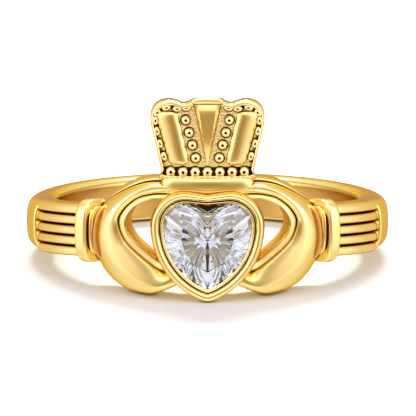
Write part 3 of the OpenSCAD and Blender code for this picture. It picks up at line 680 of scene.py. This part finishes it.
def heart(half, top, cleft, tip, tip_r, side_r, count=150):
    """A heart's outline, from the cleft round by the right: a straight run, a round lobe, a long
    round side that touches it, and a round point. Even steps along it, mirrored to the left."""
    lobe_x = STONE_W / 4
    lobe_r = half - lobe_x
    lobe = np.array([lobe_x, top - lobe_r])
    point = np.array([0, tip + tip_r])
    gap = np.linalg.norm(point - lobe)
    u = (point - lobe) / gap
    along = ((side_r - lobe_r) ** 2 - (side_r - tip_r) ** 2 + gap * gap) / 2 / gap
    off = math.sqrt((side_r - lobe_r) ** 2 - along * along)
    side = lobe + along * u - off * np.array([-u[1], u[0]])

    def arc(c, r, start, end):
        angle = np.radians(np.linspace(start, end, 90))
        return c + r * np.stack([np.cos(angle), np.sin(angle)], -1)

    def bearing(v):
        return math.degrees(math.atan2(v[1], v[0]))

    to_cleft = np.array([0, cleft]) - lobe
    touch = math.degrees(math.acos(min(1, lobe_r / np.linalg.norm(to_cleft))))
    line = np.concatenate([
        [[0, cleft]], arc(lobe, lobe_r, bearing(to_cleft) - touch, bearing(lobe - side)),
        arc(side, side_r, bearing(lobe - side), bearing(point - side)),
        arc(point, tip_r, bearing(point - side), -90)])
    run = np.concatenate([[0], np.cumsum(np.linalg.norm(np.diff(line, axis=0), axis=1))])
    even = np.linspace(0, run[-1], count)
    half_line = np.stack([np.interp(even, run, line[:, 0]), np.interp(even, run, line[:, 1])], -1)
    half_line[0, 0] = half_line[-1, 0] = 0
    return np.concatenate([half_line, half_line[-2:0:-1] * (-1, 1)])


def stone_heart(out, count=150):
    """The stone's outline, grown by out."""
    return heart(STONE_W / 2 + out, LOBES_Z + out, LOBES_Z - CLEFT_D + out, TIP_Z - out,
                 TIP_R + out, SIDE_R + out, count)


def metal_heart(out):
    """The bezel's outline, grown by out. Its cleft is shallow."""
    return heart(STONE_W / 2 + out, LOBES_Z + AT_LOBES * out,
                 LOBES_Z - BEZEL_CLEFT_D + AT_CLEFT * out, TIP_Z - AT_TIP * out,
                 TIP_R + AT_TIP_R * out, SIDE_R + out)


def sheet(outline, radius):
    """An outline on a flat plane at a distance from the finger's axis."""
    return np.stack([outline[:, 0], np.full(len(outline), -radius), outline[:, 1]], -1)


def shrink(outline, share, middle=0.6):
    """An outline drawn in to a share about the heart's middle."""
    return mix(np.array([0, mix(TIP_Z, LOBES_Z, middle)]), outline, share)


snug = stone_heart(SEAT_GAP)
mouth = metal_heart(SEAT_GAP - LIP_OVER)
foot = metal_heart(BEZEL_W - FOOT_IN)
hole = shrink(snug, HOLE_SHARE)
back = [mix(hole, foot, t) for t in np.linspace(0, 1, 7)[:-1]]
bezel_rings = [
    over(foot[:, 0], BORE_R, foot[:, 1]),
    sheet(metal_heart(BEZEL_W - WALL_IN), mix(BORE_R, BEZEL_R, WALL_SHARE)),
    *[sheet(metal_heart(share * BEZEL_RIM_W), BEZEL_R - depth) for share, depth in BEZEL_RIM],
    sheet(mouth, LIP_LOW + 0.01), sheet(mouth, LIP_LOW), sheet(snug, LIP_LOW),
    sheet(snug, GIRDLE_R - GIRDLE_H - SEAT_GAP),
    sheet(shrink(snug, SEAT_SHARE), BORE_R + CULET_GAP / 2 + SEAT_RISE),
    *[over(outline[:, 0], BORE_R, outline[:, 1]) for outline in back],
]
cast("bezel", np.array(bezel_rings), polished_gold, ends="looped", crisp=38)

# A near-black strip in the cleft, painted shade, on the floor between the lip and the stone. Both
#  outlines start in the cleft, and only that stretch of them is read.
CLEFT_SHADE_HALF, CLEFT_SHADE_RISE, CLEFT_SHADE_SUNK, CLEFT_POINTS = 0.6, 0.012, 0.03, 30
across = np.linspace(-CLEFT_SHADE_HALF, CLEFT_SHADE_HALF, 31)
shade_top = np.interp(np.abs(across), *mouth[:CLEFT_POINTS].T)
shade_low = np.minimum(np.interp(np.abs(across), *snug[:CLEFT_POINTS].T), shade_top - 0.01)
shade_y = -LIP_LOW - np.array([CLEFT_SHADE_RISE, CLEFT_SHADE_RISE, -CLEFT_SHADE_SUNK, -CLEFT_SHADE_SUNK])
shade_z = np.stack([shade_low, shade_top, shade_top, shade_low], 1)
cleft_shade = np.stack(np.broadcast_arrays(across[:, None], shade_y, shade_z), -1)
cast("cleft_shade_strip", cleft_shade, dark_shade_gold)


# The stone: a heart brilliant of cubic zirconia, cut and polished flat. Table, star, main and
# girdle facets above; long mains and split girdle facets below, meeting in the culet.
FACETS = 12
# The table, the star points and the lower points, as shares of the girdle about the culet. Then how
# far up the star points lie from the girdle, and the lower points from the culet, as shares
TABLE_SHARE, STAR_SHARE, LOWER_SHARE, STAR_RISE, LOWER_RISE = 0.60, 0.80, 0.20, 0.58, 0.15
CULET_MID = 0.55
SPECK_MM = 0.5


def zirconia(name, colour, **more):
    """Cubic zirconia of a colour, polished, with a trace of haze in specks."""
    material, tree = new_material(name)
    where = node(tree, "TexCoord").outputs["Object"]
    speck = node(tree, "TexNoise", Vector=where, Scale=1000 / SPECK_MM, Detail=2.0).outputs["Fac"]
    haze = node(tree, "MapRange", Value=speck, To_Min=0.0, To_Max=0.012).outputs[0]
    body = node(tree, "BsdfPrincipled", Base_Color=linear(colour), Roughness=haze, **more)
    node(tree, "OutputMaterial", Surface=body.outputs[0])
    return material


# Clear above, with the real stone's refraction
crown_zirconia = zirconia("clear_cubic_zirconia", "#fbfcff", IOR=2.17, Transmission_Weight=1.0)
# The pavilion, whose facets throw all the light back, as if silvered
pavilion_zirconia = zirconia("totally_reflecting_zirconia", "#e7ebf1", Metallic=1.0)


def gem_mesh():
    """Corners and flat faces of the stone, and the first corner of the girdle's lower edge. Rings
    from the top: table, star points, the girdle twice, lower points; the culet closes it. The
    girdle has two corners for each main facet."""
    girdle = stone_heart(0, FACETS + 1)
    even, odd = girdle[::2], girdle[1::2]
    girdle_low = GIRDLE_R - GIRDLE_H
    rings = [
        sheet(shrink(even, TABLE_SHARE, CULET_MID), TABLE_R),
        sheet(shrink(odd, STAR_SHARE, CULET_MID), mix(GIRDLE_R, TABLE_R, STAR_RISE)),
        sheet(girdle, GIRDLE_R),
        sheet(girdle, girdle_low),
        sheet(shrink(odd, LOWER_SHARE, CULET_MID), mix(CULET_R, girdle_low, LOWER_RISE)),
    ]
    table, star, upper, lower, low, culet = np.cumsum([0] + [len(ring) for ring in rings])
    corners = np.concatenate(rings + [[[0, -CULET_R, mix(TIP_Z, LOBES_Z, CULET_MID)]]])
    i = np.arange(FACETS)
    k = (i + 1) % FACETS
    e, o, f = 2 * i, 2 * i + 1, 2 * k
    triangles = [
        (table + i, table + k, star + i),
        (table + k, star + i, upper + f), (table + k, upper + f, star + k),
        (star + i, upper + e, upper + o), (star + i, upper + o, upper + f),
        (upper + e, upper + o, lower + o), (upper + e, lower + o, lower + e),
        (upper + o, upper + f, lower + f), (upper + o, lower + f, lower + o),
        (lower + e, lower + o, low + i), (lower + o, lower + f, low + i),
        (lower + f, low + i, low + k), (low + i, low + k, np.full(FACETS, culet)),
    ]
    faces = np.concatenate([np.stack(triangle, -1) for triangle in triangles]).tolist()
    return corners, faces + [list(range(table, table + FACETS))], lower


corners, faces, lower = gem_mesh()
stone_mesh = bpy.data.meshes.new("heart_brilliant")
stone_mesh.from_pydata(lay_down(corners).tolist(), [], faces)
stone_mesh.materials.append(crown_zirconia)
stone_mesh.materials.append(pavilion_zirconia)
below = np.array([min(face) >= lower for face in faces], np.int32)
stone_mesh.polygons.foreach_set("material_index", below)
stone = ring_piece(stone_mesh)
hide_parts("heart_stone")


# The bar under the crown: a short half-round bar, soldered across the tops of the hands, with
# rounded ends. Its foot runs down behind the heart's cleft.
BAR_W, BAR_H, BAR_T, BAR_OVERLAP = 5.14, 1.04, 1.98, 0.31
BAR_Z = LOBES_Z + BEZEL_W - BAR_OVERLAP
BAR_MID = BAR_Z + BAR_H / 2
BAR_R = BORE_R + BAR_T
# Height of the round front, how much lower the ends are, and their share of the bar's height
BAR_ROUND, BAR_DROP, BAR_END_SHARE = 0.30, 0.12, 0.25
# The bar's straight sides, in heights of the round
BAR_SIDE = -4.5
BAR_END_POWER, BAR_FRONT_POWER = 14, 2.7
FOOT_W, FOOT_DROP, FOOT_SUNK = 0.80 * BAR_W, 1.0, 0.28


def bar():
    """Rings from end to end. The section is a half-round front over straight sides, and both shrink
    towards the ends as a superellipse does."""
    t = np.sin(np.linspace(-math.pi / 2, math.pi / 2, 81))
    size = np.maximum(1 - np.abs(t) ** BAR_END_POWER, 0)[:, None] ** 0.5
    across = -np.cos(np.linspace(0, math.pi, 30))
    rise = (1 - np.abs(across) ** BAR_FRONT_POWER) ** 0.5
    across = np.concatenate([[-1], across, [1]])
    rise = np.concatenate([[BAR_SIDE], rise, [BAR_SIDE]])
    front = BAR_ROUND * rise * np.where(rise > 0, size, 1)
    r = np.maximum(BAR_R - BAR_ROUND - BAR_DROP * (1 - size) + front, BORE_R + 0.01)
    z = BAR_MID + across * mix(BAR_END_SHARE, 1, size) * BAR_H / 2
    return over((t * BAR_W / 2)[:, None], r, z)


cast("crown_bar", bar(), polished_gold, crisp=40)
foot_x = np.linspace(-0.5, 0.5, 60)[:, None] * FOOT_W
foot_r = BORE_R + np.array([0.0, 1.0, 1.0, 0.0]) * (BAR_R - FOOT_SUNK - BORE_R)
foot_z = np.array([BAR_Z - FOOT_DROP, BAR_Z - FOOT_DROP, BAR_MID, BAR_MID])
cast("bar_foot", over(foot_x, foot_r, foot_z), polished_gold)


# The crown's plate: a curved sheet with a five-lobed top and a raised, rounded border, its field
# sunk between border, panels and wedge. The field is stippled with a fine punch.
CROWN_W, CROWN_H, CROWN_T, CROWN_GAP, RELIEF, BORDER_W = 6.38, 4.33, 0.8, 0.6, 0.36, 0.22
OVER_BEZEL = 0.78
CROWN_Z = LOBES_Z + BEZEL_W + OVER_BEZEL
BACK_R = BORE_R + CROWN_GAP
FIELD_R = BACK_R + CROWN_T
# Half of the outline, from the foot's middle to the top's. Columns: side and height, as shares
CROWN = np.array([
    [0.00, -0.05], [0.78, -0.05], [0.81, 0.06], [0.90, 0.38], [0.99, 0.68], [0.97, 0.84],
    [0.86, 0.94], [0.68, 0.98], [0.52, 0.96], [0.42, 0.935], [0.32, 0.955], [0.22, 0.99],
    [0.00, 1.00],
])
# The height it is drawn in about, as a share, and how much wider its border is along the top
MID_SHARE, TOP_BORDER = 0.4, 1.7
CROWN_MID = CROWN_Z + MID_SHARE * CROWN_H
# Border, columns: drawn in as a share of its width, height as a share of the relief
BORDER = [(1.0, 0.0), (0.98, 0.35), (0.90, 0.70), (0.75, 0.93), (0.58, 1.0), (0.40, 0.98),
          (0.24, 0.88), (0.10, 0.68), (0.02, 0.42), (0.0, 0.15)]
# The back edge's round, columns: drawn in, height over the back
BACK_EDGE = [(0.0, 0.12), (0.03, 0.04), (0.1, 0.0)]
TROUGH_D = 0.22


def crown_half(inset):
    """Half of the crown's outline drawn in by inset at the sides, and by more along the top."""
    p = curve(CROWN, np.linspace(0, 1, 150))
    pull = TOP_BORDER * inset / (1 - MID_SHARE) / CROWN_H
    x = np.maximum(p[:, 0], 0) * (CROWN_W / 2 - inset)
    return np.stack([x, mix(CROWN_Z + p[:, 1] * CROWN_H, CROWN_MID, pull)], -1)


def crown_sheet(inset, radius, share=1.0):
    """The whole outline at a radius, drawn in to a share about the crown's middle."""
    half = crown_half(inset)
    line = np.concatenate([half, half[-2:0:-1] * (-1, 1)])
    return over(line[:, 0] * share, radius, mix(CROWN_MID, line[:, 1], share))


plate = [crown_sheet(BORDER_W, FIELD_R - TROUGH_D, share) for share in (0.02, 0.3, 0.6, 0.9, 1.0)]
plate += [crown_sheet(inset * BORDER_W, FIELD_R + rise * RELIEF) for inset, rise in BORDER]
plate += [crown_sheet(inset, BACK_R + rise) for inset, rise in BACK_EDGE]
plate += [crown_sheet(BACK_EDGE[-1][0], BACK_R, share) for share in (0.75, 0.5, 0.25, 0.02)]
cast("crown_plate", np.array(plate), polished_gold, crisp=40)

# The stippled field stands a little higher above the bottom row of beads, with a crisp lower edge.
FIELD_Z, FIELD_TOP, FIELD_LIFT, FIELD_EDGE, FIELD_BACK = 4.50, 8.0, 0.10, 0.03, 0.1
FIELD_ROWS, FIELD_INSET = 40, BORDER_W * 0.7
# The stretch of the crown's outline that the field follows starts over the foot, and at this side
SIDE_X = 1.9


def stippled_field():
    """Rings from side to side across the field at each height, which follow the crown's outline."""
    low_edge = [FIELD_Z, FIELD_Z, FIELD_Z + FIELD_EDGE]
    z = np.concatenate([low_edge, np.linspace(FIELD_Z + 0.1, FIELD_TOP, FIELD_ROWS)])
    edge_lift = [-TROUGH_D, FIELD_LIFT - FIELD_EDGE, FIELD_LIFT]
    lift = np.concatenate([edge_lift, np.full(FIELD_ROWS, FIELD_LIFT)])
    half = crown_half(FIELD_INSET)
    side = half[(half[:, 1] > CROWN_Z + 0.1) & (half[:, 0] > SIDE_X)]
    order = np.argsort(side[:, 1])
    reach = np.interp(z, side[order, 1], side[order, 0])[:, None]
    across = np.linspace(-1, 1, 41)
    top = over(across * reach, FIELD_R + lift[:, None], z[:, None])
    under = over(across[::-1] * reach, FIELD_R - TROUGH_D - FIELD_BACK, z[:, None])
    return np.concatenate([top, under], axis=1)


cast("stippled_field", stippled_field(), stippled_gold, crisp=40)


# Beads: grains of gold, raised with a beading tool and burnished, each in a near-black ring of
#  painted shade. Seven in a row at the foot, four in each column beside the wedge, eight along each
#  half of the border.
ROW_BEAD_D, BEAD_D, SMALL_BEAD_D = 0.61, 0.55, 0.35
# How far their middles stand over the field, and how long the border's beads are for their width
ROW_LIFT, COLUMN_LIFT, BORDER_LIFT, SMALL_STRETCH = 0.08, 0.12, 0.18, 1.55
# The hollow in a bead's middle: depth in bead radii, reach in radians. Then the near-black rings
#  of painted shade round the beads: their width, flatness and height over the field
HOLLOW_D, HOLLOW_REACH = 0.45, 0.30
SHADE_RING_RIM, SMALL_SHADE_RING_RIM, SHADE_RING_FLAT, SHADE_RING_LIFT = 0.055, 0.05, 0.1, 0.015
BEAD_POINTS = 20
# Angles down from a bead's middle. The first faces, up to the hollow's edge, are near-black as
# painted shade
BEAD_DOWN = np.concatenate([[0, 0.14, 0.24, HOLLOW_REACH], np.linspace(0.38, math.pi, 14)])[:, None]
HOLLOW_ROWS = 3
# The row's length and its height as a share of the crown's. Then the columns' beads, columns: side
# and height, as shares of half the crown's width and of its height
ROW_L, ROW_HEIGHT = 4.0703, 0.048
COLUMN = [(0.205, 0.233), (0.262, 0.400), (0.317, 0.560), (0.376, 0.722)]
BORDER_BEADS = np.array([
    (2.41, 5.09), (2.63, 5.80), (2.80, 6.49), (2.89, 7.08), (2.79, 7.54), (2.27, 7.83),
    (1.67, 7.78), (1.16, 7.83),
])


def beads(name, places, diameter, radius, stretch, along, flat=1.0, finish=bead_gold_painted_highlight):
    """Balls at places (side, height), with their middles at a radius from the finger's axis. Each
    is stretched along a direction in the surface, one for all or one for each, and flattened
    outwards. The punch leaves a small hollow in the middle of each."""
    places = np.array(places)
    along = np.broadcast_to(np.asarray(along, float), places.shape)
    along = along / np.linalg.norm(along, axis=1, keepdims=True)
    turn = np.arange(BEAD_POINTS) / BEAD_POINTS * 2 * math.pi
    hollow = HOLLOW_D * np.clip(1 - BEAD_DOWN / HOLLOW_REACH, 0, 1) ** 0.7
    out = (hollow - np.cos(BEAD_DOWN)) * flat
    side = np.sin(BEAD_DOWN) * np.cos(turn)
    far = np.sin(BEAD_DOWN) * np.sin(turn) * stretch
    x = side * along[:, 1, None, None] + far * along[:, 0, None, None]
    z = far * along[:, 1, None, None] - side * along[:, 0, None, None]
    ball = np.stack([x, np.broadcast_to(out, x.shape), z], -1)
    balls = over(places[:, 0], radius, places[:, 1])[:, None, None] + diameter / 2 * ball
    made = cast(name, balls, finish, ends="poles", crisp=60)
    made.data.materials.append(dark_shade_gold)
    return made


def bead_set(name, places, diameter, lift, stretch=1.0, along=(0.0, 1.0), rim=SHADE_RING_RIM):
    """Beads with hollows painted near-black as shade, and under them the near-black rings of
    painted shade in which they stand.
    """
    made = beads(name, places, diameter, FIELD_R + lift, stretch, along)
    count = len(made.data.polygons)
    in_hollow = np.arange(count) % (count // len(places)) < HOLLOW_ROWS * BEAD_POINTS
    made.data.polygons.foreach_set("material_index", in_hollow.astype(np.int32))
    shade_ring_r = FIELD_R + FIELD_LIFT + SHADE_RING_LIFT
    shade_ring_d = diameter + 2 * rim
    beads(name + "_shade_rings", places, shade_ring_d, shade_ring_r, stretch, along, SHADE_RING_FLAT, dark_shade_gold)


row = [((i / 6 - 0.5) * ROW_L, CROWN_Z + ROW_HEIGHT * CROWN_H) for i in range(7)]
bead_set("bead_row", row, ROW_BEAD_D, ROW_LIFT)
columns = [(side * x * CROWN_W / 2, CROWN_Z + z * CROWN_H) for x, z in COLUMN for side in (-1, 1)]
bead_set("bead_columns", columns, BEAD_D, COLUMN_LIFT)
border, lay = (
    np.concatenate([points * (side, 1) for side in (-1, 1)])
    for points in (BORDER_BEADS, np.gradient(BORDER_BEADS, axis=0))
)
bead_set("border_beads", border, SMALL_BEAD_D, BORDER_LIFT, SMALL_STRETCH, lay, SMALL_SHADE_RING_RIM)

# The trough in which the row of beads stands, painted brown between them as shade.
TROUGH_HALF = 2.42
trough_x = np.linspace(-1, 1, 40)[:, None] * TROUGH_HALF
trough_r = FIELD_R - TROUGH_D + np.array([-0.1, 0.02, 0.02, -0.1])
trough_z = np.array([CROWN_Z - 0.05, CROWN_Z - 0.05, FIELD_Z, FIELD_Z])
cast("bead_trough", over(trough_x, trough_r, trough_z), brown_shade_gold)


# The two leaning panels: smooth pads, raised over the field and rounded at both ends.
# Columns: share of the crown's height, inner and outer side as shares of half its width, relief
PANEL = [
    [0.135, 0.42, 0.61, 0.2], [0.155, 0.33, 0.67, 0.8], [0.22, 0.315, 0.71, 1],
    [0.50, 0.400, 0.820, 1], [0.75, 0.485, 0.925, 1], [0.815, 0.51, 0.92, 0.75],
    [0.845, 0.61, 0.83, 0.2],
]
# Points across the arch, its squareness, and the foot of its sides in reliefs
ARCH_POINTS, ARCH_SQUARE, ARCH_FOOT = 31, 2.1, -0.8


def shaded_foot(points):
    """The strip of a raised piece painted near-black as shade at its foot, of so many points round:
    its underside, and on each side the wall and the face over it."""
    return dark_shade_gold, points - 3, 5


def panel():
    """Rings up the pad. Each is a flattened arch from the inner to the outer side."""
    rows = curve(PANEL, np.linspace(0, 1, 60))
    v = np.linspace(-1, 1, ARCH_POINTS)
    arch = (1 - np.abs(v) ** ARCH_SQUARE) ** 0.6
    v = np.concatenate([[-1], v, [1]])
    arch = np.concatenate([[ARCH_FOOT], arch, [ARCH_FOOT]])
    x = mix(rows[:, 1:2], rows[:, 2:3], (v + 1) / 2) * CROWN_W / 2
    rise = np.where(arch > 0, arch * rows[:, 3:], arch)
    return over(x, FIELD_R + RELIEF * rise, CROWN_Z + rows[:, :1] * CROWN_H)


cast_pair("crown_panel", panel(), polished_gold, crisp=40, strip=shaded_foot(ARCH_POINTS + 2))


# The middle wedge: a flat-faced blade with bevelled edges that tapers to a point at the bead row,
# and a rounded cap over it.
# Columns: share of the crown's height, half width as a share of the crown's, relief
WEDGE = [[0.15, 0.015, 0.5], [0.40, 0.090, 0.9], [0.66, 0.165, 1.0], [0.83, 0.215, 1.02],
         [0.90, 0.236, 1.18], [0.985, 0.260, 1.60]]
# Half of the section, columns: share of the half width, height as a share
WEDGE_HALF = np.array([[1, -1], [1, 0.40], [0.96, 0.55], [0.70, 0.94], [0.66, 0.98], [0, 1]])
WEDGE_SECTION = np.concatenate([WEDGE_HALF, WEDGE_HALF[-2::-1] * (-1, 1)])
WEDGE_FOOT = -0.3
wedge_rows = curve(WEDGE, np.linspace(0, 1, 40))
wedge_x = WEDGE_SECTION[:, 0] * wedge_rows[:, 1:2] * CROWN_W / 2
wedge_rise = WEDGE_SECTION[:, 1] * wedge_rows[:, 2:] * RELIEF
wedge_r = FIELD_R + np.where(WEDGE_SECTION[:, 1] < 0, WEDGE_FOOT, wedge_rise)
wedge = over(wedge_x, wedge_r, CROWN_Z + wedge_rows[:, :1] * CROWN_H)
cast("wedge", wedge, polished_gold, crisp=25, strip=shaded_foot(len(WEDGE_SECTION)))

# The cap: half length, place and dip of its ends as shares of the crown's height, its middle's
# height over the field in reliefs, and its half height, half thickness and squareness
CAP_HALF, CAP_SHARE, CAP_DIP, CAP_RELIEF = 0.90, 0.983, 0.012, 1.45
CAP_HALF_H, CAP_HALF_T, CAP_SQUARE = 0.19, 0.20, 6


def cap():
    """A pillow-shaped bar: rings from end to end, each an oval, shrinking as a superellipse."""
    t = np.sin(np.linspace(-math.pi / 2, math.pi / 2, 61))[:, None]
    size = np.maximum(1 - np.abs(t) ** CAP_SQUARE, 0) ** 0.5
    v = np.linspace(0, 2 * math.pi, 33)[:-1]
    z = CROWN_Z + CROWN_H * (CAP_SHARE - CAP_DIP * t**2) + CAP_HALF_H * size * np.sin(v)
    r = FIELD_R + CAP_RELIEF * RELIEF + CAP_HALF_T * size * np.cos(v)
    return over(t * CAP_HALF, r, z)


cast("wedge_cap", cap(), polished_gold)

# A near-black strip in the crease under the cap, painted shade: half its length, and its section as
#  heights over the field and drops under the cap's middle.
CREASE_HALF = 0.80
CREASE_LIFT = np.array([0.2, 0.57, 0.60, 0.2])
CREASE_DROP = np.array([0.22, 0.22, 0.10, 0.10])
crease_z = CROWN_Z + CAP_SHARE * CROWN_H - CREASE_DROP
crease = over(np.linspace(-1, 1, 21)[:, None] * CREASE_HALF, FIELD_R + CREASE_LIFT, crease_z)
cast("cap_crease_shade", crease, dark_shade_gold)
